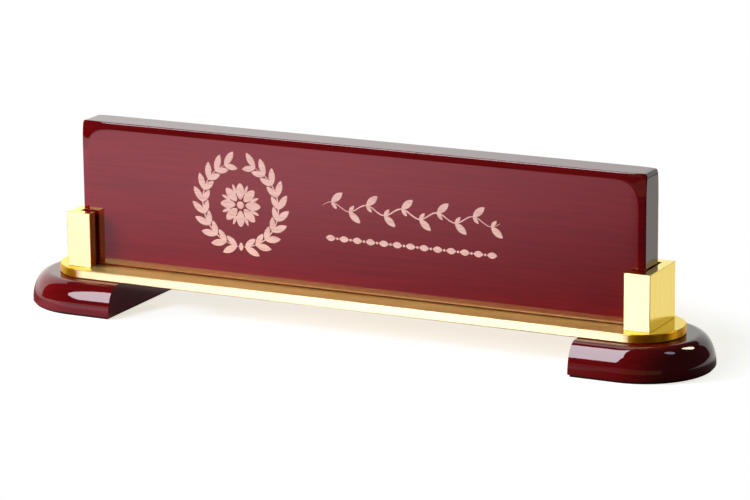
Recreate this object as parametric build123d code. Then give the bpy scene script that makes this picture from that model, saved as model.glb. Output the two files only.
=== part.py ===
# Desk name plate: a lacquered board stands in the felt-lined slots of two gold posts,
# on a gold rail with round ends that is carried by two lacquered feet.
# Millimetres. X runs along the board, its front looks towards -Y, +Z is up,
# and the origin is on the desk under the middle of the board.
import os
from math import atan2, degrees

from build123d import *

# Board
board_length = 254.0
board_height = 61.6
board_thickness = 14.2
board_edge_radius = 2.2

# Felt strips that line the slots and grip the board
strip_thickness = 1.4
strip_clearance = 0.2
strip_setback = 0.5

# Posts: upright channels, open towards the board
post_height = 23.1
post_wall = 4.6
post_web = 4.1
post_entry = 6.4
post_end_clearance = 0.6
post_chamfer = 0.4

# Rail
rail_depth = 37.6
rail_thickness = 3.6
rail_end_margin = 8.8
rail_chamfer = 0.4

# Feet
foot_depth = 58.0
foot_height = 12.4
foot_length = 49.0
foot_end_margin = 12.0
foot_edge_land = 0.4
foot_edge_width = 7.5
foot_shoulder_radius = 5.4
foot_end_chamfer = 0.6

# Felt pads under the feet
pad_thickness = 1.0
pad_inset = 0.7

# Countersunk screws, up through the rail into each post
post_screw_diameter = 2.5
post_screw_head_diameter = 4.7
post_screw_head_height = 1.3
post_screw_reach = 6.4

# Countersunk wood screw, down through the rail into each foot, hidden under the board's end
foot_screw_diameter = 3.5
foot_screw_head_diameter = 7.0
foot_screw_head_height = 2.0
foot_screw_tip_margin = 2.4
foot_screw_inset = 19.0

# Fits of the screws, and the cross driven into their heads as shares of the head
thread_clearance = 0.05
hole_clearance = 0.25
cone_clearance = 0.05
cut_overrun = 1.0
cross_reach_share = 0.6
cross_width_share = 0.13
cross_depth_share = 0.6

# Heights of the stack
foot_bottom = pad_thickness
foot_top = foot_bottom + foot_height
rail_top = foot_top + rail_thickness

# Places along and across the board
slot_width = board_thickness + 2 * (strip_thickness + strip_clearance)
slot_depth = post_entry + post_end_clearance
post_depth = slot_width + 2 * post_wall
post_width = slot_depth + post_web
post_inner_x = board_length / 2 - post_entry
post_middle_x = post_inner_x + post_width / 2
post_screw_y = (slot_width + post_wall) / 2
rail_end_x = post_inner_x + post_width + rail_end_margin
foot_outer_x = rail_end_x + foot_end_margin
foot_inner_x = foot_outer_x - foot_length
foot_edge_height = foot_height - foot_edge_land
foot_screw_x = foot_inner_x + foot_screw_inset
foot_screw_reach = foot_height - foot_screw_tip_margin

CORNER = (Align.MIN, Align.CENTER, Align.MIN)
UPRIGHT = (Align.CENTER, Align.CENTER, Align.MIN)


def name_board():
    """The board, softened on every edge and standing on the rail."""
    board = Box(board_length, board_thickness, board_height, align=UPRIGHT)
    board = fillet(board.edges(), board_edge_radius)
    return Pos(0, 0, rail_top) * board


def countersunk_hole(diameter, head_diameter, head_height):
    """The cut for a countersunk screw through the rail, head down at the origin."""
    hole = Cylinder(diameter / 2 + hole_clearance, rail_thickness, align=UPRIGHT)
    return hole + Cone(
        head_diameter / 2 + cone_clearance,
        diameter / 2 + cone_clearance,
        head_height,
        align=UPRIGHT,
    )


def base_rail():
    """A flat bar with half-round ends, drilled for the screws of both posts and feet."""
    rail = extrude(SlotOverall(2 * rail_end_x, rail_depth), rail_thickness)
    rims = rail.edges().group_by(Axis.Z)
    rail = Pos(0, 0, foot_top) * chamfer(rims[0] + rims[-1], rail_chamfer)
    post_hole = countersunk_hole(post_screw_diameter, post_screw_head_diameter, post_screw_head_height)
    foot_hole = countersunk_hole(foot_screw_diameter, foot_screw_head_diameter, foot_screw_head_height)
    for side in (-1, 1):
        for y in (-post_screw_y, post_screw_y):
            rail -= Pos(side * post_middle_x, y, foot_top) * post_hole
        rail -= Pos(side * foot_screw_x, 0, rail_top) * (Rot(180, 0, 0) * foot_hole)
    return rail


def post():
    """A square-cornered block slotted from top to bottom on the side that faces the board."""
    block = Box(post_width, post_depth, post_height, align=CORNER)
    rims = block.edges().group_by(Axis.Z)
    block = chamfer(rims[1] + rims[-1], post_chamfer)
    slot = Box(slot_depth + cut_overrun, slot_width, post_height, align=CORNER)
    block -= Pos(-cut_overrun, 0, 0) * slot
    tapped = Cylinder(
        post_screw_diameter / 2 + thread_clearance,
        post_screw_reach + cut_overrun,
        align=UPRIGHT,
    )
    for y in (-post_screw_y, post_screw_y):
        block -= Pos(post_width / 2, y, 0) * tapped
    return Pos(post_inner_x, 0, rail_top) * block


def felt_strip(face):
    """One strip of felt stuck to the slot's front or back wall, face being -1 or 1."""
    strip = Box(slot_depth - strip_setback, strip_thickness, post_height - strip_setback, align=CORNER)
    y = face * (slot_width - strip_thickness) / 2
    return Pos(post_inner_x + strip_setback, y, rail_top) * strip


def foot_profile():
    """Half of the foot's cross-section, from its middle out to the edge. The edge is close to a quarter of
    an ellipse: a wide arc up the side runs on into a tight one at the shoulder, tangent to the flat top."""
    half = foot_depth / 2
    shoulder = half - foot_edge_width
    shoulder_rise = foot_edge_height - foot_shoulder_radius
    side_radius = (foot_edge_width**2 + shoulder_rise**2 - foot_shoulder_radius**2) / (
        2 * (foot_edge_width - foot_shoulder_radius)
    )
    side_turn = degrees(atan2(shoulder_rise, side_radius - foot_edge_width))
    shoulder_centre = (shoulder, foot_edge_land + shoulder_rise)
    return make_face(
        [
            Line((0, 0), (half, 0)),
            Line((half, 0), (half, foot_edge_land)),
            CenterArc((half - side_radius, foot_edge_land), side_radius, 0, side_turn),
            CenterArc(shoulder_centre, foot_shoulder_radius, side_turn, 90 - side_turn),
            Line((shoulder, foot_height), (0, foot_height)),
            Line((0, foot_height), (0, 0)),
        ]
    )


def foot():
    """The profile carried straight, then round the outer end, and cut off square inside."""
    straight = foot_length - foot_depth / 2
    profile = foot_profile()
    section = profile + mirror(profile, about=Plane.YZ)
    body = extrude(Plane.YZ * section, straight)
    turned = Pos(straight, 0, 0) * (Rot(0, 0, -90) * revolve(Plane.XZ * profile, Axis.Z, 180))
    body = body.fuse(turned, glue=True)
    end_rim = body.edges().group_by(Axis.X)[0]
    body = chamfer(end_rim.sort_by(Axis.Z)[1:], foot_end_chamfer)
    pilot = Cylinder(foot_screw_diameter / 2 + thread_clearance, foot_screw_reach, align=UPRIGHT)
    body -= Pos(foot_screw_inset, 0, foot_screw_tip_margin) * pilot
    return Pos(foot_inner_x, 0, foot_bottom) * body


def felt_pad():
    """The felt stuck under a foot, a little inside its outline."""
    radius = foot_depth / 2 - pad_inset
    straight = foot_length - foot_depth / 2
    outline = make_face(
        [
            Line((pad_inset, radius), (pad_inset, -radius)),
            Line((pad_inset, -radius), (straight, -radius)),
            CenterArc((straight, 0), radius, -90, 180),
            Line((straight, radius), (pad_inset, radius)),
        ]
    )
    return Pos(foot_inner_x, 0, 0) * extrude(outline, pad_thickness)


def countersunk_screw(diameter, head_diameter, head_height, reach):
    """A countersunk screw through the rail and on by its reach, head down and flush at the origin."""
    screw = Cylinder(diameter / 2, rail_thickness + reach, align=UPRIGHT)
    screw += Cone(head_diameter / 2, diameter / 2, head_height, align=UPRIGHT)
    blade = Box(
        head_diameter * cross_reach_share,
        head_diameter * cross_width_share,
        head_height * cross_depth_share,
        align=UPRIGHT,
    )
    return screw - (blade + Rot(0, 0, 90) * blade)


def post_screw(y):
    """One of the two screws that hold a post, driven up from under the rail."""
    screw = countersunk_screw(
        post_screw_diameter, post_screw_head_diameter, post_screw_head_height, post_screw_reach
    )
    return Pos(post_middle_x, y, foot_top) * screw


def foot_screw():
    """The screw that holds a foot, driven down from the top of the rail."""
    screw = countersunk_screw(
        foot_screw_diameter, foot_screw_head_diameter, foot_screw_head_height, foot_screw_reach
    )
    return Pos(foot_screw_x, 0, rail_top) * (Rot(180, 0, 0) * screw)


# One end of the plate, at +X: the other is its mirror image.
end_pieces = {
    "post": post(),
    "front_felt_strip": felt_strip(-1),
    "back_felt_strip": felt_strip(1),
    "foot": foot(),
    "felt_pad": felt_pad(),
    "post_screws": Compound([post_screw(y) for y in (-post_screw_y, post_screw_y)]),
    "foot_screw": foot_screw(),
}

pieces = {"name_board": name_board(), "base_rail": base_rail()}
for name, piece in end_pieces.items():
    pieces["right_" + name] = piece
    pieces["left_" + name] = mirror(piece, about=Plane.YZ)

os.makedirs("parts", exist_ok=True)
for name, piece in pieces.items():
    export_step(piece, "parts/" + name + ".step")
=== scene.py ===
# Desk name plate: a glossy dark red board stands in two gold posts on a gold rail, which two half-round
# lacquered feet carry. Metres, with X along the board, the front towards -Y and the desk at Z = 0.
import math

import bpy
import numpy as np
from mathutils import Matrix, Vector


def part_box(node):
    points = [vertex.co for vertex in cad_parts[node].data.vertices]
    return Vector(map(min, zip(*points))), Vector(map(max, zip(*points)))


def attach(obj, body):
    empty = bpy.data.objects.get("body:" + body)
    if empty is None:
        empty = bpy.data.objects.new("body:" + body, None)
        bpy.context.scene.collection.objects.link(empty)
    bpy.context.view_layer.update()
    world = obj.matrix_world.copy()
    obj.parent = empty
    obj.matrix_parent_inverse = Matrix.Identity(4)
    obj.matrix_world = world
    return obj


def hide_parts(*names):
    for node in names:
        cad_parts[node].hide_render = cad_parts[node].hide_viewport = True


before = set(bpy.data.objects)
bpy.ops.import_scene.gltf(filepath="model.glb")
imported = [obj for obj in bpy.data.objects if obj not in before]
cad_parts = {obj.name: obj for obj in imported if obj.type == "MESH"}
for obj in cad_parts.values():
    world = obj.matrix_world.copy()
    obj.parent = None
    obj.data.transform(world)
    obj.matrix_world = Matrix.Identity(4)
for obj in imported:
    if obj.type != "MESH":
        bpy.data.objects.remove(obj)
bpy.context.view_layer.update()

# Felt pads: black felt about a millimetre thick, die-cut to the outline of the feet and stuck under them.
# The cut edge is a little fuzzy, so it swells between its two faces instead of standing square.
millimetre = 0.001
pad_edge_swell = 0.25 * millimetre
pad_edge_steps = 7
outline_steps = 96
sharp_angle = math.radians(40)
felt_black = (0.010, 0.010, 0.011)
felt_grey = (0.030, 0.029, 0.030)
felt_fibre_scale = 2600.0
felt_fibre_depth = 0.12 * millimetre


class Wire:
    """One output of a shader node. Sums and products of wires and numbers add Math nodes."""

    def __init__(self, tree, socket):
        self.tree = tree
        self.socket = socket

    def feed(self, node, sockets):
        """Gives each named socket of a node its value, or a link where the value is a wire."""
        for name, value in sockets.items():
            if isinstance(value, Wire):
                self.tree.links.new(value.socket, node.inputs[name])
            else:
                node.inputs[name].default_value = value

    def node(self, kind, settings, sockets, output=0):
        """Adds a node of any kind: its settings come first, then its sockets."""
        made = self.tree.nodes.new(kind)
        for name, value in settings.items():
            setattr(made, name, value)
        self.feed(made, sockets)
        return Wire(self.tree, made.outputs[output])

    def math(self, operation, other=0.0):
        """Works out an operation on this value and another one."""
        return self.node("ShaderNodeMath", {"operation": operation}, {0: self, 1: other})

    def __add__(self, other):
        return self.math("ADD", other)

    def __sub__(self, other):
        return self.math("SUBTRACT", other)

    def __rsub__(self, other):
        return self.node("ShaderNodeMath", {"operation": "SUBTRACT"}, {0: other, 1: self})

    def __mul__(self, other):
        return self.math("MULTIPLY", other)

    __radd__ = __add__
    __rmul__ = __mul__

    def ramp(self, low, high, first=0.0, last=1.0):
        """Runs smoothly from first to last while this value goes from low to high."""
        sockets = {"Value": self, "From Min": low, "From Max": high, "To Min": first, "To Max": last}
        return self.node("ShaderNodeMapRange", {"interpolation_type": "SMOOTHSTEP"}, sockets)

    def mix(self, first, last):
        """The colour that goes from first to last while this value goes from 0 to 1. The Mix node keeps its
        two colours in sockets 6 and 7, and the colour that it makes in output 2."""
        sockets = {0: self, 6: first, 7: last}
        return self.node("ShaderNodeMix", {"data_type": "RGBA"}, sockets, 2)

    def tint(self, colour):
        """A colour, made as strong as this value."""
        return self.node("ShaderNodeVectorMath", {"operation": "SCALE"}, {0: colour, "Scale": self})

    def axis(self, name):
        """One coordinate of a place."""
        return self.node("ShaderNodeSeparateXYZ", {}, {"Vector": self}, name)

    def noise(self, scale, detail, stretch=(1.0, 1.0, 1.0)):
        """Noise on these coordinates, drawn out along each axis whose stretch is small."""
        place = self.node("ShaderNodeMapping", {}, {"Vector": self, "Scale": stretch})
        return self.node("ShaderNodeTexNoise", {}, {"Vector": place, "Scale": scale, "Detail": detail})

    def bump(self, depth):
        """A normal tilted by this height, which runs from 0 to 1 over the given depth."""
        return self.node("ShaderNodeBump", {}, {"Height": self, "Distance": depth, "Strength": 1.0})


def new_finish(name):
    """A new material, its Object coordinates as a wire, and its Principled shader."""
    material = bpy.data.materials.new(name)
    material.use_nodes = True
    tree = material.node_tree
    place = Wire(tree, tree.nodes.new("ShaderNodeTexCoord").outputs["Object"])
    return material, place, tree.nodes["Principled BSDF"]


def rgba(colour):
    """A colour with full cover, as a shader takes it."""
    return (*colour, 1.0)


def felt():
    """Matt black felt: fibres as a fine noise in colour and height, with a soft sheen at the rim."""
    material, place, shader = new_finish("black_felt")
    fibres = place.noise(felt_fibre_scale, detail=4.0)
    place.feed(
        shader,
        {
            "Base Color": fibres.mix(rgba(felt_black), rgba(felt_grey)),
            "Roughness": 0.95,
            "Specular IOR Level": 0.1,
            "Sheen Weight": 0.15,
            "Sheen Roughness": 0.5,
            "Normal": fibres.bump(felt_fibre_depth),
        },
    )
    return material


def new_piece(name, points, faces, material):
    """A new object from an array of points, with faces that name them by number, in one material."""
    mesh = bpy.data.meshes.new(name)
    mesh.from_pydata(points.reshape(-1, 3).tolist(), [], faces)
    mesh.materials.append(material)
    piece = bpy.data.objects.new(name, mesh)
    bpy.context.scene.collection.objects.link(piece)
    return piece


def skin(name, rows, material):
    """A closed skin over a stack of outlines: quads join each outline to the next, all the way round,
    and the first and the last outline are filled in. Edges over the sharp angle stay sharp."""
    count, around = rows.shape[:2]
    index = np.arange(count * around).reshape(count, around)
    beside = np.roll(index, -1, axis=1)
    quads = np.stack([index[:-1], beside[:-1], beside[1:], index[1:]], axis=-1)
    faces = [*quads.reshape(-1, 4).tolist(), index[0, ::-1].tolist(), index[-1].tolist()]
    piece = new_piece(name, rows, faces, material)
    piece.data.polygons.foreach_set("use_smooth", np.ones(len(faces), bool))
    piece.data.set_sharp_from_angle(angle=sharp_angle)
    return piece


def half_round(side, inner_x, centre_x, reach):
    """The outline of a half-round end from above: straight from the inner end along the front, half a
    turn about the centre, and straight back. It runs anticlockwise, on the side of X that side names."""
    turn = np.linspace(-np.pi / 2, np.pi / 2, outline_steps)
    x = np.concatenate([[inner_x], centre_x + reach * np.cos(turn), [inner_x]])
    y = np.concatenate([[-reach], reach * np.sin(turn), [reach]])
    return np.stack([side * x, y], axis=1)[::side]


def stack(outlines, heights):
    """Outlines from above, lifted to their heights, as rows for a skin."""
    levels = [np.full(len(outline), height) for outline, height in zip(outlines, heights)]
    return np.stack([np.column_stack(pair) for pair in zip(outlines, levels)])


def felt_pad(name, side, material):
    """A stack of half-round outlines, drawn in at the two faces by a half-ellipse."""
    low, high = (np.array(corner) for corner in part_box(name))
    inner_x, outer_x = sorted(abs(x) for x in (low[0], high[0]))
    reach = high[1]
    turn = np.linspace(-np.pi / 2, np.pi / 2, pad_edge_steps)
    drawn_in = pad_edge_swell * (1 - np.cos(turn))
    heights = (low[2] + high[2]) / 2 + (high[2] - low[2]) / 2 * np.sin(turn)
    outlines = [half_round(side, inner_x + inset, outer_x - reach, reach - inset) for inset in drawn_in]
    pad = skin(name + "_felt", stack(outlines, heights), material)
    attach(pad, "stand")
    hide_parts(name)


black_felt = felt()
sides = {"left": -1, "right": 1}
for name, side in sides.items():
    felt_pad(name + "_felt_pad", side, black_felt)

# Feet: solid wood, shaped to a half-round with a full rounded edge, stained dark red and finished with
# several coats of clear lacquer that are rubbed out to a mirror gloss.
foot_edge_land = 0.4 * millimetre
foot_edge_width = 7.5 * millimetre
foot_edge_steps = 28
foot_rim = 0.5 * millimetre
rim_segments = 3
rim_angle = math.radians(50)
flat_margin = 0.3 * millimetre
stain_dark = (0.110, 0.0008, 0.0018)
stain_light = (0.165, 0.0026, 0.0042)
band_scale = 90.0
band_stretch = (0.12, 1.0, 1.0)
band_share = 0.35
streak_scale = 1200.0
streak_stretch = (0.03, 1.0, 1.0)
streak_share = 0.65
pore_scale = 2400.0
pore_stretch = (0.05, 1.0, 1.0)
pore_range = (0.60, 0.72)
pore_share = 0.35
noise_range = (0.3, 0.7)


def lacquered_wood(name):
    """Red-stained wood under clear lacquer. The grain is noise drawn out along X at three widths: broad
    bands, fine streaks and short dark pores. The lacquer over it is smooth."""
    material, place, shader = new_finish(name)
    bands = place.noise(band_scale, detail=3.0, stretch=band_stretch).ramp(*noise_range)
    streaks = place.noise(streak_scale, detail=3.0, stretch=streak_stretch).ramp(*noise_range)
    pores = place.noise(pore_scale, detail=1.0, stretch=pore_stretch).ramp(*pore_range)
    tone = bands * band_share + streaks * streak_share - pores * pore_share
    place.feed(
        shader,
        {
            "Base Color": tone.mix(rgba(stain_dark), rgba(stain_light)),
            "Roughness": 0.6,
            "Specular IOR Level": 0.0,
            "Coat Weight": 1.0,
            "Coat IOR": 1.5,
            "Coat Roughness": 0.02,
        },
    )
    return material


def settle(piece):
    """Makes a piece's modifiers part of its mesh."""
    rough = piece.data
    shaped = piece.evaluated_get(bpy.context.evaluated_depsgraph_get())
    piece.data = bpy.data.meshes.new_from_object(shaped)
    piece.data.name = piece.name
    piece.modifiers.clear()
    bpy.data.meshes.remove(rough)


def round_edges(piece, radius):
    """Rounds every square edge of a piece."""
    bevel = piece.modifiers.new("round_edges", "BEVEL")
    bevel.width = radius
    bevel.segments = rim_segments
    bevel.limit_method = "ANGLE"
    bevel.angle_limit = rim_angle
    bevel.harden_normals = True
    settle(piece)


def foot(name, side, material):
    """A stack of half-round outlines that draw in along a quarter of an ellipse, up to a flat top."""
    low, high = (np.array(corner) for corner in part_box(name))
    inner_x, outer_x = sorted(abs(x) for x in (low[0], high[0]))
    reach = high[1]
    edge_height = high[2] - low[2] - foot_edge_land
    rise = np.linspace(0, np.pi / 2, foot_edge_steps)
    edge = foot_edge_width * (1 - np.cos(rise))
    drawn_in = np.concatenate([[flat_margin, 0], edge, [foot_edge_width + flat_margin]])
    lift = foot_edge_land + edge_height * np.sin(rise)
    heights = low[2] + np.concatenate([[0, 0], lift, [lift[-1]]])
    outlines = [half_round(side, inner_x, outer_x - reach, reach - inset) for inset in drawn_in]
    piece = skin(name + "_lacquered", stack(outlines, heights), material)
    round_edges(piece, foot_rim)
    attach(piece, "stand")
    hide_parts(name)


foot_lacquer = lacquered_wood("foot_lacquer")
for name, side in sides.items():
    foot(name + "_foot", side, foot_lacquer)

# Rail: one flat aluminium bar with half-round ends, gold anodised. Its faces are satin, and polished from
# the posts outwards, where a deeper gold is painted on as a painted reflection of the gold posts. Its long
# edges are brushed, and paler as a painted highlight of the softbox's glare, and the edge round its ends is
# a deeper amber, a painted reflection of the red feet and the gold.
# It is drilled for the screws that hold the feet.
rail_chamfer = 0.4 * millimetre
hole_radius = 2.0 * millimetre
hole_clearance = 0.05 * millimetre
hole_overrun = 0.5 * millimetre
hole_steps = 64
countersink_slope = 0.875
face_normal = 0.9
end_normal = 0.16
satin = ((0.90, 0.68, 0.19), (0.95, 0.77, 0.27))
# Painted highlight: the brushed edges' gold is paler than the faces' to stand in for the softbox's glare on
# them.
glare_pale_golds = ((0.92, 0.76, 0.38), (0.95, 0.84, 0.50))
# Painted reflection: the round ends' deeper amber stands in for the red feet and the gold reflected in them.
amber_reflection_golds = ((0.88, 0.44, 0.02), (0.94, 0.52, 0.03))
# Painted reflection: the polished ends' deeper gold stands in for the gold posts reflected in them.
end_reflection_gold = (0.86, 0.64, 0.09)
polish_range = (0.119, 0.128)
polish_roughness = 0.14
rim_white = (1.0, 1.0, 1.0)
rim_gold = (1.0, 0.94, 0.70)
scratch_scale = 2500.0
scratch_share = 0.7
cloud_scale = 60.0
cloud_share = 0.3
gloss_range = (0.25, 0.75)
gloss_swing = 0.1
satin_depth = 0.006 * millimetre
fine_depth = 0.002 * millimetre
along_x = (0.02, 1.0, 1.0)
along_edge = (0.02, 0.02, 1.0)
quarter_turn = 0.25


def gold_metal(
    name, golds, stretch, roughness, depth, metal, spread=0.0, spread_turn=0.0, rim=rim_white, ends=False
):
    """Gold anodised metal: scratches are noise drawn out along the brushing, in colour, gloss and height.
    The spread draws reflections out along the surface, across the scratches. What isn't metal is the matt
    part of a satin face. The rim is the tint at a low angle, and a piece may have polished ends along X,
    whose deeper gold is a painted reflection."""
    material, place, shader = new_finish(name)
    scratches = place.noise(scratch_scale, detail=3.0, stretch=stretch)
    clouds = place.noise(cloud_scale, detail=2.0)
    tone = scratches.ramp(*noise_range) * scratch_share + clouds * cloud_share
    deep, pale = golds
    colour = tone.mix(rgba(deep), rgba(pale))
    gloss = scratches.ramp(*gloss_range, roughness * (1 - gloss_swing), roughness * (1 + gloss_swing))
    if ends:
        # Painted reflection: the polished ends take a deeper gold.
        shine = place.axis("X").math("ABSOLUTE").ramp(*polish_range)
        colour = shine.mix(colour, rgba(end_reflection_gold))
        gloss = gloss * (1 - shine) + shine * polish_roughness
    place.feed(
        shader,
        {
            "Base Color": colour,
            "Metallic": metal,
            "Roughness": gloss,
            "Specular Tint": rgba(rim),
            "Anisotropic": spread,
            "Anisotropic Rotation": spread_turn,
            "Normal": scratches.bump(depth),
        },
    )
    return material


def stadium(half_length, half_depth):
    """The outline of a bar with half-round ends, anticlockwise from above."""
    turn = np.linspace(-np.pi / 2, np.pi / 2, outline_steps)
    end = half_depth * np.stack([np.cos(turn), np.sin(turn)], axis=1)
    centre = np.array([half_length - half_depth, 0])
    return np.concatenate([centre + end, -centre - end])


def drill(piece, screw):
    """Cuts the countersunk hole of a screw whose head is at its top: a circle carried up through the piece,
    which opens out as a cone to the head's rim."""
    low, high = (np.array(corner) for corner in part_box(screw))
    middle = (low + high) / 2
    head = high[0] - middle[0] + hole_clearance
    cone = (head - hole_radius) / countersink_slope
    radii = [hole_radius, hole_radius, head, head + hole_overrun * countersink_slope]
    heights = [low[2], high[2] - cone, high[2], high[2] + hole_overrun]
    turn = np.linspace(0, 2 * np.pi, hole_steps, endpoint=False)
    circle = np.stack([np.cos(turn), np.sin(turn)], axis=1)
    rings = [middle[:2] + radius * circle for radius in radii]
    bit = skin("drill", stack(rings, heights), piece.data.materials[0])
    cut = piece.modifiers.new("drill", "BOOLEAN")
    cut.operation = "DIFFERENCE"
    cut.object = bit
    settle(piece)
    piece.data.set_sharp_from_angle(angle=sharp_angle)
    bpy.data.objects.remove(bit)


def face_normals(piece):
    """How far each face of a piece looks along X, Y and Z, either way."""
    normals = np.empty(3 * len(piece.data.polygons), np.float32)
    piece.data.polygons.foreach_get("normal", normals)
    return np.abs(normals.reshape(-1, 3))


def rail(name, faces, edge, ends):
    """A stack of stadium outlines, drawn in at the two faces by a chamfer. The faces, the straight edges and
    the round ends each have a finish of their own, numbered in that order."""
    low, high = (np.array(corner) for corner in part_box(name))
    drawn_in = [rail_chamfer, 0, 0, rail_chamfer]
    heights = [low[2], low[2] + rail_chamfer, high[2] - rail_chamfer, high[2]]
    outlines = [stadium(high[0] - inset, high[1] - inset) for inset in drawn_in]
    bar = skin(name + "_gold", stack(outlines, heights), faces)
    bar.data.materials.append(edge)
    bar.data.materials.append(ends)
    normals = face_normals(bar)
    upright = normals[:, 2] < face_normal
    turned = normals[:, 0] > end_normal
    bar.data.polygons.foreach_set("material_index", np.where(upright, np.where(turned, 2, 1), 0))
    for side in sides:
        drill(bar, side + "_foot_screw")
    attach(bar, "stand")
    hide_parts(name)


satin_gold = gold_metal(
    "satin_gold",
    satin,
    along_x,
    roughness=0.32,
    depth=satin_depth,
    metal=0.75,
    rim=rim_gold,
    ends=True,
)
# Painted highlight: the brushed edges and the post fronts are a paler gold.
brushed_gold = gold_metal(
    "brushed_gold",
    glare_pale_golds,
    along_edge,
    roughness=0.66,
    depth=fine_depth,
    metal=0.85,
    spread=1.0,
    spread_turn=quarter_turn,
)
# Painted reflection: the round ends are a deeper amber than the rest of the bar.
end_gold = gold_metal(
    "end_gold",
    amber_reflection_golds,
    along_edge,
    roughness=0.60,
    depth=fine_depth,
    metal=1.0,
    spread=1.0,
    spread_turn=quarter_turn,
)
rail("base_rail", satin_gold, brushed_gold, end_gold)

# Screws: zinc-plated countersunk screws, two up through the rail into each post and one down through
# it into each foot, where the board's end hides it.
zinc = (0.62, 0.62, 0.60)
zinc_dull = (0.42, 0.42, 0.41)
zinc_mottle_scale = 1800.0
zinc_roughness = (0.28, 0.45)


def plated_steel():
    """Zinc plating: a pale metal with a fine crystalline mottle."""
    material, place, shader = new_finish("zinc_plating")
    mottle = place.noise(zinc_mottle_scale, detail=4.0)
    place.feed(
        shader,
        {
            "Base Color": mottle.mix(rgba(zinc_dull), rgba(zinc)),
            "Metallic": 1.0,
            "Roughness": mottle.ramp(*noise_range, *zinc_roughness),
        },
    )
    return material


def dress(node, material):
    """Gives a node of the frame its material."""
    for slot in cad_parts[node].material_slots:
        slot.material = material


screw_zinc = plated_steel()
for name in sides:
    dress(name + "_post_screws", screw_zinc)
    dress(name + "_foot_screw", screw_zinc)

# Posts: square gold blocks with a slot for the board's end, screwed down on the rail from below. Their
# fronts are brushed across, in the paler gold of the rail's edges, which is a painted highlight, and their
# sides up and down, in a deeper gold that is a painted reflection of the gold round them.
post_edge_radius = 0.3 * millimetre
# Painted reflection: the posts' sides are a deeper gold that stands in for the gold rail and posts reflected
# in them.
flank_reflection_golds = ((0.87, 0.62, 0.10), (0.94, 0.73, 0.16))
up_and_down = (1.0, 1.0, 0.01)


def post(name, side, front, flank):
    """A block with a slot on its inner side, as one outline from above carried up to the top."""
    low, high = (np.array(corner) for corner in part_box(name + "_post"))
    strip_low, strip_high = (np.array(corner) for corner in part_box(name + "_back_felt_strip"))
    inner, outer = sorted(abs(x) for x in (low[0], high[0]))
    slot_end = max(abs(strip_low[0]), abs(strip_high[0]))
    y, slot_y = high[1], strip_high[1]
    block = [(inner, -y), (outer, -y), (outer, y), (inner, y)]
    slot = [(inner, slot_y), (slot_end, slot_y), (slot_end, -slot_y), (inner, -slot_y)]
    outline = (np.array(block + slot) * np.array([side, 1]))[::side]
    piece = skin(name + "_post_gold", stack([outline, outline], [low[2], high[2]]), front)
    piece.data.materials.append(flank)
    sideways = face_normals(piece)[:, 1] < face_normal
    piece.data.polygons.foreach_set("material_index", sideways.astype(np.int32))
    round_edges(piece, post_edge_radius)
    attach(piece, "stand")
    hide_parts(name + "_post")


# Painted reflection: the deeper gold of the posts' sides.
flank_gold = gold_metal(
    "flank_gold",
    flank_reflection_golds,
    up_and_down,
    roughness=0.18,
    depth=fine_depth,
    metal=1.0,
    spread=0.6,
)
for name, side in sides.items():
    post(name, side, brushed_gold, flank_gold)

# Felt strips: black felt like the pads', cut to the slots' front and back walls and stuck to them. They grip
# the board's ends and keep the gold off its lacquer.
strip_edge_radius = 0.3 * millimetre


def felt_strip(name, material):
    """A box of felt with rounded edges."""
    low, high = (np.array(corner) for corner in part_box(name))
    corners = np.array([[low[0], low[1]], [high[0], low[1]], [high[0], high[1]], [low[0], high[1]]])
    strip = skin(name + "_felt", stack([corners, corners], [low[2], high[2]]), material)
    round_edges(strip, strip_edge_radius)
    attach(strip, "stand")
    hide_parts(name)


for name in sides:
    for face in ("front", "back"):
        felt_strip(name + "_" + face + "_felt_strip", black_felt)

# Board: a solid wooden board, stained and lacquered like the feet. Its faces are flat to a few millimetres
# from the edges, where the rubbing-out has rolled them off before they turn over the rim.
break_radius = 2.0 * millimetre
break_angle = math.radians(9)
slope_radius = 50.0 * millimetre
slope_angle = math.radians(11.7)
rim_radius = 0.55 * millimetre
low_radius = 1.6 * millimetre
edge_steps = 11
rim_corner = 1.3 * millimetre
flat_corner = 7.5 * millimetre
corner_reach = 12.0 * millimetre
corner_fall = 0.8 * millimetre
corner_steps = 40


def rounded_rectangle(half_width, bottom, top, low_corner, high_corner):
    """A rectangle with round corners, anticlockwise from its lower right corner. A corner is (1 - sin t)^n
    along and (1 - cos t)^n across its reach, with n so that it is as blunt as an arc of its radius."""
    turn = np.linspace(0, np.pi / 2, corner_steps)
    inward = np.stack([1 - np.sin(turn), 1 - np.cos(turn)], axis=1)
    points = []
    for side, end, flip in ((1, -1, 1), (1, 1, -1), (-1, 1, 1), (-1, -1, -1)):
        level, corner = (top, high_corner) if end > 0 else (bottom, low_corner)
        power = 1 - math.log(corner_reach / corner) / math.log(1 - math.sqrt(0.5))
        cut = corner_reach * inward[::flip] ** power
        points.append(np.array([side * half_width, level]) - np.array([side, end]) * cut)
    return np.concatenate(points)


def rubbed_edge():
    """How far the face runs out, and how far it has dropped by then, along three tangent arcs: the break at
    the end of the flat, the slope that rubbing has left, and the rim."""
    out, drop, start = [-flat_margin, 0.0], [0.0, 0.0], 0.0
    for radius, stop in ((break_radius, break_angle), (slope_radius, slope_angle), (rim_radius, np.pi / 2)):
        turn = np.linspace(start, stop, edge_steps)[1:]
        out.extend(out[-1] + radius * (np.sin(turn) - math.sin(start)))
        drop.extend(drop[-1] + radius * (math.cos(start) - np.cos(turn)))
        start = stop
    return np.array(out), np.array(drop)


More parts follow.
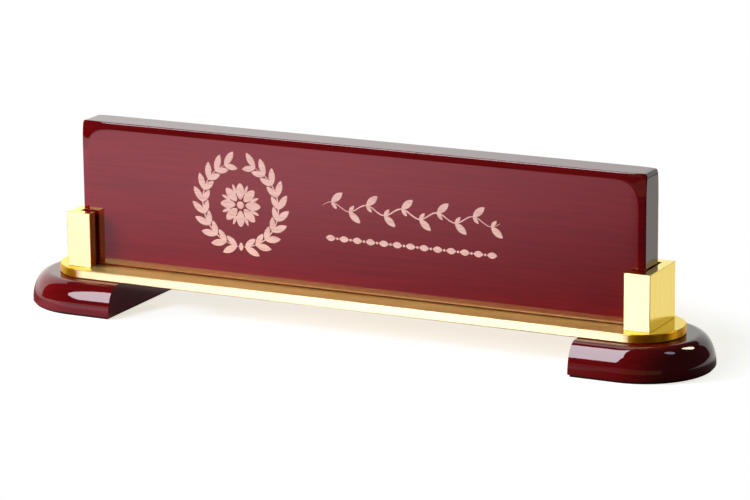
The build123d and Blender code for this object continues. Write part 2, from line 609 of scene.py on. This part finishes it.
def board(name, material):
    """A stack of rounded rectangles from the back to the front. At each face the outline draws in along the
    rubbed edge, and its upper corners open out on the way and are rubbed lower, by sin^2 2t of the fall. The
    lower edge, which stands on the rail, is one plain quarter-round."""
    low, high = (np.array(corner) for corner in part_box(name))
    half = (high - low) / 2
    middle = (high + low) / 2
    out, drop = rubbed_edge()
    square = np.linspace(drop[-1], low_radius, edge_steps)[1:]
    depths = np.concatenate([drop, square])
    insets = np.concatenate([out[-1] - out, 0 * square])
    corners = rim_corner + (flat_corner - rim_corner) * insets / out[-1]
    low_insets = low_radius - np.sqrt(low_radius**2 - (low_radius - depths) ** 2)
    high_fall = np.sin(2 * np.linspace(0, np.pi / 2, corner_steps)) ** 2
    fall = corner_fall * np.concatenate([0 * high_fall, high_fall, high_fall, 0 * high_fall])
    wear = np.clip(1 - insets / out[-1], 0, 1)
    rows = []
    for depth, inset, low_inset, corner, worn in zip(depths, insets, low_insets, corners, wear):
        bottom, top = low_inset - half[2], half[2] - inset
        outline = rounded_rectangle(half[0] - inset, bottom, top, rim_corner, corner)
        rows.append(np.column_stack([outline[:, 0], half[1] - depth - worn * fall, outline[:, 1]]))
    back = np.stack(rows)
    front = back[::-1] * np.array([1, -1, 1])
    piece = skin("name_board_lacquered", np.concatenate([back, front]) + middle, material)
    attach(piece, "board")
    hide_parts(name)


board("name_board", lacquered_wood("board_lacquer"))

# Ornament: a laurel wreath round a rosette and, beside it, a vine over a string of lozenges. A laser has
# cut it through the lacquer to the pale wood, which stands out on the face by a hair's breadth.
etched_pale = (0.95, 0.60, 0.55)
etched_dark = (0.78, 0.44, 0.39)
etched_scale = 1500.0
etched_stretch = (0.1, 1.0, 1.0)
etched_range = (0.25, 0.6)
etched_root = 0.15 * millimetre
stem_rise = 0.030 * millimetre
shape_rise = (0.036 * millimetre, 0.060 * millimetre)
shape_steps = 24
stem_steps = 160
stem_width = 0.6 * millimetre
stem_tip = 0.02
leaf_point = 0.7
wreath_middle = np.array([-52.0, 49.3]) * millimetre
wreath_radius = 17.6 * millimetre
wreath_start = math.radians(-84)
wreath_stop = math.radians(66)
wreath_overlap = 0.05
wreath_leaves = 10
wreath_leaf_turn = math.radians(32)
outer_leaf = np.array([7.4, 2.9]) * millimetre
inner_leaf = np.array([6.2, 2.5]) * millimetre
knot_drop = 1.8 * millimetre
knot_size = np.array([3.6, 2.0]) * millimetre
petals = 8
petal_start = 2.3 * millimetre
petal_size = np.array([7.0, 3.7]) * millimetre
petal_point = 0.4
spike_start = 5.0 * millimetre
spike_size = np.array([4.2, 1.3]) * millimetre
eye_size = np.array([3.2, 3.2]) * millimetre
vine_middle = np.array([25.5, 53.0]) * millimetre
vine_half = 39.5 * millimetre
vine_waves = 5
vine_swing = 1.7 * millimetre
large_leaf = np.array([6.6, 2.9]) * millimetre
large_leaf_turn = math.radians(40)
small_leaf = np.array([3.6, 1.6]) * millimetre
small_leaf_turn = math.radians(48)
string_middle = np.array([25.5, 39.6]) * millimetre
string_half = 36.0 * millimetre
lozenges = 13
lozenge_size = np.array([4.4, 2.6]) * millimetre
lozenge_point = 0.8
bead_size = np.array([1.1, 1.1]) * millimetre


def etched_wood():
    """Bare pale wood: streaks along the grain as noise drawn out along X, with no lacquer."""
    material, place, shader = new_finish("etched_wood")
    streaks = place.noise(etched_scale, detail=3.0, stretch=etched_stretch).ramp(*etched_range)
    place.feed(
        shader,
        {
            "Base Color": streaks.mix(rgba(etched_dark), rgba(etched_pale)),
            "Roughness": 0.85,
            "Specular IOR Level": 0.1,
        },
    )
    return material


def shapes(places, turn, size, point):
    """Outlines that start at their places and run that way: an ellipse where point is 0, a pointed leaf
    where it is 1. Along the length (1 - cos t) / 2, across it sin t |sin t|^point."""
    length, width = size
    t = np.linspace(0, 2 * np.pi, shape_steps, endpoint=False)
    along = length * (1 - np.cos(t)) / 2
    across = -width / 2 * np.sin(t) * np.abs(np.sin(t)) ** point
    ways = np.stack([np.cos(turn), np.sin(turn)], axis=-1)[:, None]
    left = np.stack([-np.sin(turn), np.cos(turn)], axis=-1)[:, None]
    return places[:, None] + along[:, None] * ways + across[:, None] * left


def polar(middle, turn, radius):
    """The places at a distance from the middle, one in each direction."""
    return middle + radius * np.stack([np.cos(turn), np.sin(turn)], axis=-1)


def etch_shapes(name, outlines, face, material):
    """One mesh of flat shapes on the board's face, each outline carried out from its root in the wood. Each
    shape stands a little prouder than the one before, so that none lies level with one that it crosses."""
    count, around = outlines.shape[:2]
    points = np.empty((count, 2, around, 3))
    points[..., 0] = outlines[:, None, :, 0]
    points[:, 0, :, 1] = face + etched_root
    points[:, 1, :, 1] = face - np.linspace(*shape_rise, count)[:, None]
    points[..., 2] = outlines[:, None, :, 1]
    index = np.arange(count * 2 * around).reshape(count, 2, around)
    beside = np.roll(index, -1, axis=2)
    walls = np.stack([index[:, 0], beside[:, 0], beside[:, 1], index[:, 1]], axis=-1)
    faces = [*walls.reshape(-1, 4).tolist(), *index[:, 0, ::-1].tolist(), *index[:, 1].tolist()]
    piece = new_piece(name, points, faces, material)
    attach(piece, "board")


def etch_stem(name, path, face, material):
    """A ribbon along a path on the board's face, as wide as sqrt(sin) of the way along it."""
    way = np.gradient(path, axis=0)
    way /= np.linalg.norm(way, axis=1, keepdims=True)
    left = np.stack([-way[:, 1], way[:, 0]], axis=1)
    share = np.linspace(stem_tip, 1 - stem_tip, len(path))
    half = stem_width / 2 * np.sqrt(np.sin(np.pi * share))[:, None]
    right_side, left_side = path - half * left, path + half * left
    root, front = np.full(len(path), face + etched_root), np.full(len(path), face - stem_rise)
    corners = ((right_side, root), (left_side, root), (left_side, front), (right_side, front))
    rows = [np.column_stack([edge[:, 0], y, edge[:, 1]]) for edge, y in corners]
    stem = skin(name, np.stack(rows, axis=1), material)
    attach(stem, "board")


def wreath(face, material):
    """Leaves in pairs along two arcs that rise from the foot of a circle, round a rosette of petals."""
    branch = np.linspace(wreath_start, wreath_stop, wreath_leaves)
    roots = polar(wreath_middle, branch, wreath_radius)
    onward = branch + np.pi / 2
    right = np.concatenate(
        [
            shapes(roots, onward - wreath_leaf_turn, outer_leaf, leaf_point),
            shapes(roots, onward + wreath_leaf_turn, inner_leaf, leaf_point),
        ]
    )
    centre_line = np.array([2 * wreath_middle[0], 0.0])
    mirrored = np.array([-1, 1])
    left = (centre_line + right * mirrored)[:, ::-1]
    spokes = np.arange(petals) * 2 * np.pi / petals
    between = spokes + np.pi / petals
    knot = wreath_middle - [0, wreath_radius + knot_drop]
    eye = wreath_middle - [eye_size[0] / 2, 0]
    rosette = [
        shapes(knot[None], np.full(1, np.pi / 2), knot_size, leaf_point),
        shapes(polar(wreath_middle, spokes, petal_start), spokes, petal_size, petal_point),
        shapes(polar(wreath_middle, between, spike_start), between, spike_size, leaf_point),
        shapes(eye[None], np.zeros(1), eye_size, point=0.0),
    ]
    etch_shapes("wreath", np.concatenate([right, left, *rosette]), face, material)
    arc = np.linspace(wreath_start - wreath_overlap, wreath_stop, stem_steps)
    path = polar(wreath_middle, arc, wreath_radius)
    etch_stem("wreath_right_stem", path, face, material)
    etch_stem("wreath_left_stem", centre_line + path * mirrored, face, material)


def vine(face, material):
    """A stem that swings as a sine wave, with a large and a small leaf at each crest."""
    along = np.linspace(-1, 1, stem_steps)
    wave = vine_swing * np.sin(np.pi * vine_waves * (along + 1))
    etch_stem("vine_stem", vine_middle + np.stack([vine_half * along, wave], axis=1), face, material)
    crest = (np.arange(2 * vine_waves) + 0.5) / vine_waves - 1
    up = (-1.0) ** np.arange(2 * vine_waves)
    roots = vine_middle + np.stack([vine_half * crest, vine_swing * up], axis=1)
    large = shapes(roots, up * large_leaf_turn, large_leaf, leaf_point)
    small = shapes(roots, -up * small_leaf_turn, small_leaf, leaf_point)
    etch_shapes("vine_leaves", np.concatenate([large, small]), face, material)


def lozenge_string(face, material):
    """Lozenges in a row, with a bead between each two."""
    x = np.linspace(-string_half, string_half, lozenges)
    between = (x[1:] + x[:-1]) / 2
    starts = string_middle + np.stack([x - lozenge_size[0] / 2, 0 * x], axis=1)
    bead_starts = string_middle + np.stack([between - bead_size[0] / 2, 0 * between], axis=1)
    outlines = [
        shapes(starts, 0 * x, lozenge_size, lozenge_point),
        shapes(bead_starts, 0 * between, bead_size, point=0.0),
    ]
    etch_shapes("lozenge_string", np.concatenate(outlines), face, material)


board_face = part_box("name_board")[0][1]
bare_wood = etched_wood()
wreath(board_face, bare_wood)
vine(board_face, bare_wood)
lozenge_string(board_face, bare_wood)

# Floor: white paper, just under the felt. The camera sees it white, with the plate's soft shadow near the
# feet over a painted warm shadow glow, and the shadow painted out further away and beside the left foot.
# The plate's gloss sees a painted pool of light on it instead, and what is matt is lit by it as by grey
# paper.
floor_corners = np.array([[-4.0, -4.0], [4.0, -4.0], [4.0, 4.0], [-4.0, 4.0]])
floor_height = -0.05 * millimetre
white = (1.0, 1.0, 1.0)
paper_grey = (0.30, 0.30, 0.30)
shadow_paper = (0.58, 0.70, 0.92)
# Painted shadow: the glow's colours under the shadow, warm under the rail and paler to the right.
painted_shadow_left = (0.72, 0.68, 0.60)
painted_shadow_middle = (0.76, 0.68, 0.56)
painted_shadow_right = (0.78, 0.76, 0.67)
glow_left_range = (-0.09, 0.0)
glow_right_range = (0.09, 0.14)
# Painted light: the distances over which the shadow is painted out to white.
shadow_painted_out = (0.147, 0.172)
# Painted light: where the shadow beside the left foot is painted out.
painted_light_slant = 0.35
painted_light_edge = (-0.096, -0.088)
painted_light_back = (-0.004, 0.012)
painted_light_right = (-0.08, -0.06)
painted_light_strength = 0.85
pool_middle = (-0.20, -0.27)
pool_reach = 0.25
pool_light = 1.6
pool_rosy = (2.40, 0.95, 1.15)
pool_pale = (1.0, 0.97, 0.95)
pool_rosy_range = (0.02, 0.4)
pool_end_slant = 0.409
pool_end_range = (0.121, 0.136)
past_pool_light = 0.05
back_range = (-0.03, 0.05)
back_light = 0.95
back_cream = (1.02, 1.0, 0.94)
under_range = (0.015, 0.035)
under_light = 0.2
left_range = (-0.20, -0.165)
left_pale_range = (-0.17, -0.15)
left_pale_front = (-0.09, -0.04)
gloss_fade = (0.42, 0.50)


def new_stage(name):
    """A new material for the studio without a shader, its coordinates and its output."""
    material, place, shader = new_finish(name)
    material.node_tree.nodes.remove(shader)
    return material, place, material.node_tree.nodes["Material Output"]


def bell(value, middle, reach):
    """A bell curve about the middle, exp(-share^2)."""
    share = (value - middle) * (1 / reach)
    return (share * share * -1.0).math("EXPONENT")


def seen_floor(place, away):
    """What the camera sees: paper that takes the shadow, over a glow that paints the shadow warm in the
    middle and paler to the right, with the shadow painted out to plain white further away and beside the
    left foot."""
    x = place.axis("X")
    y = place.axis("Y")
    # Painted shadow: the glow's tint sets the shadow's colour, warm under the rail and paler to the right.
    painted_shadow_tint_left = x.ramp(*glow_left_range).mix(rgba(painted_shadow_left), rgba(painted_shadow_middle))
    painted_shadow_tint = x.ramp(*glow_right_range).mix(painted_shadow_tint_left, rgba(painted_shadow_right))
    glow = place.node("ShaderNodeEmission", {}, {"Color": painted_shadow_tint})
    shaded = place.node("ShaderNodeBsdfDiffuse", {}, {"Color": rgba(shadow_paper)})
    near = place.node("ShaderNodeAddShader", {}, {0: shaded, 1: glow})
    far = place.node("ShaderNodeEmission", {}, {"Color": rgba(white)})
    # Painted light: beside the left foot the shadow is painted out.
    painted_light_gap = (x - y * painted_light_slant).ramp(*painted_light_edge) * y.ramp(*painted_light_back, 1.0, 0.0)
    painted_light_gap = painted_light_gap * x.ramp(*painted_light_right, painted_light_strength, 0.0)
    # Painted light: the shadow is painted out to white further away and beside the left foot.
    shadow_painted_out_mask = away.ramp(*shadow_painted_out).math("MAXIMUM", painted_light_gap)
    return place.node("ShaderNodeMixShader", {}, {0: shadow_painted_out_mask, 1: near, 2: far})


def mirrored_floor(place, away):
    """What gloss sees: a painted rosy pool of light to the front left that ends on a slanted line, painted
    cream light behind the plate, light to its left, and painted shade under it. All of it fades out further
    away."""
    x = place.axis("X")
    y = place.axis("Y")
    along = x.math("MAXIMUM", pool_middle[0])
    # Painted light: the pool of light is painted on the floor.
    pool = bell(along, pool_middle[0], pool_reach) * bell(y, pool_middle[1], pool_reach)
    behind = y.ramp(*back_range)
    # Painted shade: the floor seen in the gloss is darker under the plate.
    clear = y.math("ABSOLUTE").ramp(*under_range, under_light, 1.0)
    end = (x - y * pool_end_slant).ramp(*pool_end_range, 1.0, 0.0)
    beside = x.ramp(*left_range, 1.0, 0.0)
    front = (pool * end * pool_light + (1 - end) * past_pool_light) * (1 - behind) + behind * back_light
    tone = (front * clear).math("MAXIMUM", beside) * away.ramp(*gloss_fade, 1.0, 0.0)
    pale = y.ramp(*left_pale_front) * x.ramp(*left_pale_range, 1.0, 0.0)
    rosy = pool.ramp(*pool_rosy_range) * (1 - pale)
    tint = behind.mix(rosy.mix(rgba(pool_pale), rgba(pool_rosy)), rgba(back_cream))
    return place.node("ShaderNodeEmission", {}, {"Color": tone.tint(tint)})


def floor_paper():
    """Paper that is one thing to the camera, another to gloss, and plain grey to what is matt."""
    material, place, output = new_stage("floor_paper")
    is_camera = place.node("ShaderNodeLightPath", {}, {}, "Is Camera Ray")
    is_gloss = place.node("ShaderNodeLightPath", {}, {}, "Is Glossy Ray")
    away = place.node("ShaderNodeVectorMath", {"operation": "LENGTH"}, {0: place}, "Value")
    paper = place.node("ShaderNodeBsdfDiffuse", {}, {"Color": rgba(paper_grey)})
    unseen = place.node("ShaderNodeMixShader", {}, {0: is_gloss, 1: paper, 2: mirrored_floor(place, away)})
    whole = place.node("ShaderNodeMixShader", {}, {0: is_camera, 1: unseen, 2: seen_floor(place, away)})
    place.feed(output, {"Surface": whole})
    return material


floor = new_piece("floor", stack([floor_corners], [floor_height]), [(0, 1, 2, 3)], floor_paper())

# Softbox, cards and lamps: a softbox hangs to the front left, bent white and amber cards whose glow is
# painted light stand round the plate, and two small lamps shine from the right. Only the plate's gloss shows
# them.
card_white = (0.98, 0.97, 1.05)
card_amber = (1.10, 0.66, 0.36)
card_cool = (1.01, 1.06, 1.04)
card_low = 0.06
card_steps = 48
softbox_corners = (
    (-0.425, -0.514, 0.178),
    (-0.118, -0.603, 0.305),
    (-0.013, -0.450, 0.492),
    (-0.040, 0.015, 0.841),
    (-0.375, -0.260, 0.410),
)
softbox_strength = 11.5
softbox_tint = (0.98, 0.94, 1.04)
lamp_steps = 24
violet = (0.85, 0.80, 1.10)
cream = (1.05, 1.0, 0.75)


def gloss_shape(name, points, faces):
    """A shape that only gloss sees, with a new material: its coordinates and its output."""
    material, place, output = new_stage(name)
    piece = new_piece(name, points, faces, material)
    piece.visible_camera = False
    piece.visible_diffuse = False
    piece.visible_shadow = False
    return place, output


def card(name, angles, radius, heights, strengths, tint, low_gain=1.0):
    """A card bent round the plate from one angle to another, counted from the front, with its heights at the
    two ends. Its strengths run along X, with a gain near the floor."""
    turn = np.radians(np.linspace(*angles, card_steps))
    ring = np.stack([radius * np.sin(turn), -radius * np.cos(turn)], axis=1)
    rows = np.stack([np.column_stack([ring, z]) for z in (0 * turn, np.linspace(*heights, card_steps))])
    index = np.arange(2 * card_steps).reshape(2, card_steps)
    quads = np.stack([index[0, :-1], index[0, 1:], index[1, 1:], index[1, :-1]], axis=-1)
    place, output = gloss_shape(name, rows, quads.tolist())
    # Painted light: the card's glow runs along X and is stronger near the floor.
    strength = place.axis("X").ramp(ring[:, 0].min(), ring[:, 0].max(), *strengths)
    strength = strength * place.axis("Z").ramp(0.0, card_low, low_gain, 1.0)
    glow = place.node("ShaderNodeEmission", {}, {"Color": strength.tint(tint)})
    place.feed(output, {"Surface": glow})


def panel(name, corners, strength, tint):
    """A panel stretched between its corners, equally bright all over."""
    place, output = gloss_shape(name, np.array(corners), [range(len(corners))])
    glow = place.node("ShaderNodeEmission", {}, {"Color": rgba(tint), "Strength": strength})
    place.feed(output, {"Surface": glow})


def lamp(name, place, size, strength, tint):
    """A small oval lamp that faces the plate: an ellipse whose half-widths are its size."""
    turn = np.linspace(0, 2 * np.pi, lamp_steps, endpoint=False)
    facing = np.array(Vector(place).to_track_quat("Z", "Y").to_matrix())
    disc = np.stack([np.cos(turn) * size[0], np.sin(turn) * size[1], 0 * turn], axis=1)
    panel(name, np.array(place) + disc @ facing.T, strength, tint)


card(
    "front_card",
    angles=(-80.0, 0.0),
    radius=0.46,
    heights=(0.0, 0.104),
    strengths=(0.9, 0.22),
    tint=card_white,
    low_gain=1.8,
)
card(
    "side_card",
    angles=(0.0, 60.0),
    radius=0.46,
    heights=(0.104, 0.050),
    strengths=(0.35, 0.35),
    tint=card_amber,
)
card(
    "back_card",
    angles=(140.0, 272.0),
    radius=0.50,
    heights=(0.25, 0.55),
    strengths=(1.36, 0.88),
    tint=card_cool,
)
panel("softbox", softbox_corners, softbox_strength, softbox_tint)
lamp("violet_lamp", place=(0.447, 0.023, 0.526), size=(0.06, 0.08), strength=4.5, tint=violet)
lamp("cream_lamp", place=(0.410, 0.325, 0.430), size=(0.065, 0.10), strength=16.0, tint=cream)

# Lights: a large round key light far to the front left and a weak fill light behind. They light what is matt
# and don't show in the gloss.
key_place = (-2.40, -1.30, 1.00)
key_size = 1.4
key_power = 137.0
fill_place = (0.25, 1.30, 0.70)
fill_size = 0.9
fill_power = 5.0


def soft_light(name, place, size, power):
    """A round light that faces the plate and doesn't show in its gloss."""
    light = bpy.data.lights.new(name, "AREA")
    light.shape = "DISK"
    light.size = size
    light.energy = power
    piece = bpy.data.objects.new(name, light)
    piece.location = place
    piece.rotation_euler = Vector(place).to_track_quat("Z", "Y").to_euler()
    piece.visible_glossy = False
    bpy.context.scene.collection.objects.link(piece)


soft_light("key", key_place, key_size, key_power)
soft_light("fill", fill_place, fill_size, fill_power)

# Room: white to the camera, and nearly dark to the plate, so that the lights and the cards do the lighting.
# Matt surfaces and gloss each take a little light from it.
room_light = 0.06
room_gloss = 0.05

room = bpy.data.worlds.new("studio")
room.use_nodes = True
bpy.context.scene.world = room
room_rays = room.node_tree.nodes.new("ShaderNodeLightPath").outputs
is_camera = Wire(room.node_tree, room_rays["Is Camera Ray"])
is_matt = Wire(room.node_tree, room_rays["Is Diffuse Ray"])
is_gloss = Wire(room.node_tree, room_rays["Is Glossy Ray"])
room_glow = is_camera + is_matt * room_light + is_gloss * room_gloss
room_glow.feed(room.node_tree.nodes["Background"], {"Color": room_glow, "Strength": 1.0})

# Camera: a long lens from the front right, a little above the board, as in the photograph. Its place, turns
# and lens come from the edges of the board and the rail there.
camera_place = (0.6395038, -1.2767734, 0.3906516)
camera_turn = 0.4606
camera_tilt = -0.2448
camera_roll = -0.0095
camera_lens = 173.456
camera_sight = 20.0

camera = bpy.data.objects.new("camera", bpy.data.cameras.new("camera"))
turned = Matrix.Rotation(camera_turn, 4, "Z")
tilted = Matrix.Rotation(math.pi / 2 + camera_tilt, 4, "X")
rolled = Matrix.Rotation(camera_roll, 4, "Z")
camera.matrix_world = Matrix.Translation(camera_place) @ turned @ tilted @ rolled
camera.data.lens = camera_lens
camera.data.clip_end = camera_sight
bpy.context.scene.collection.objects.link(camera)
bpy.context.scene.camera = camera
bpy.context.scene.view_settings.view_transform = "Standard"
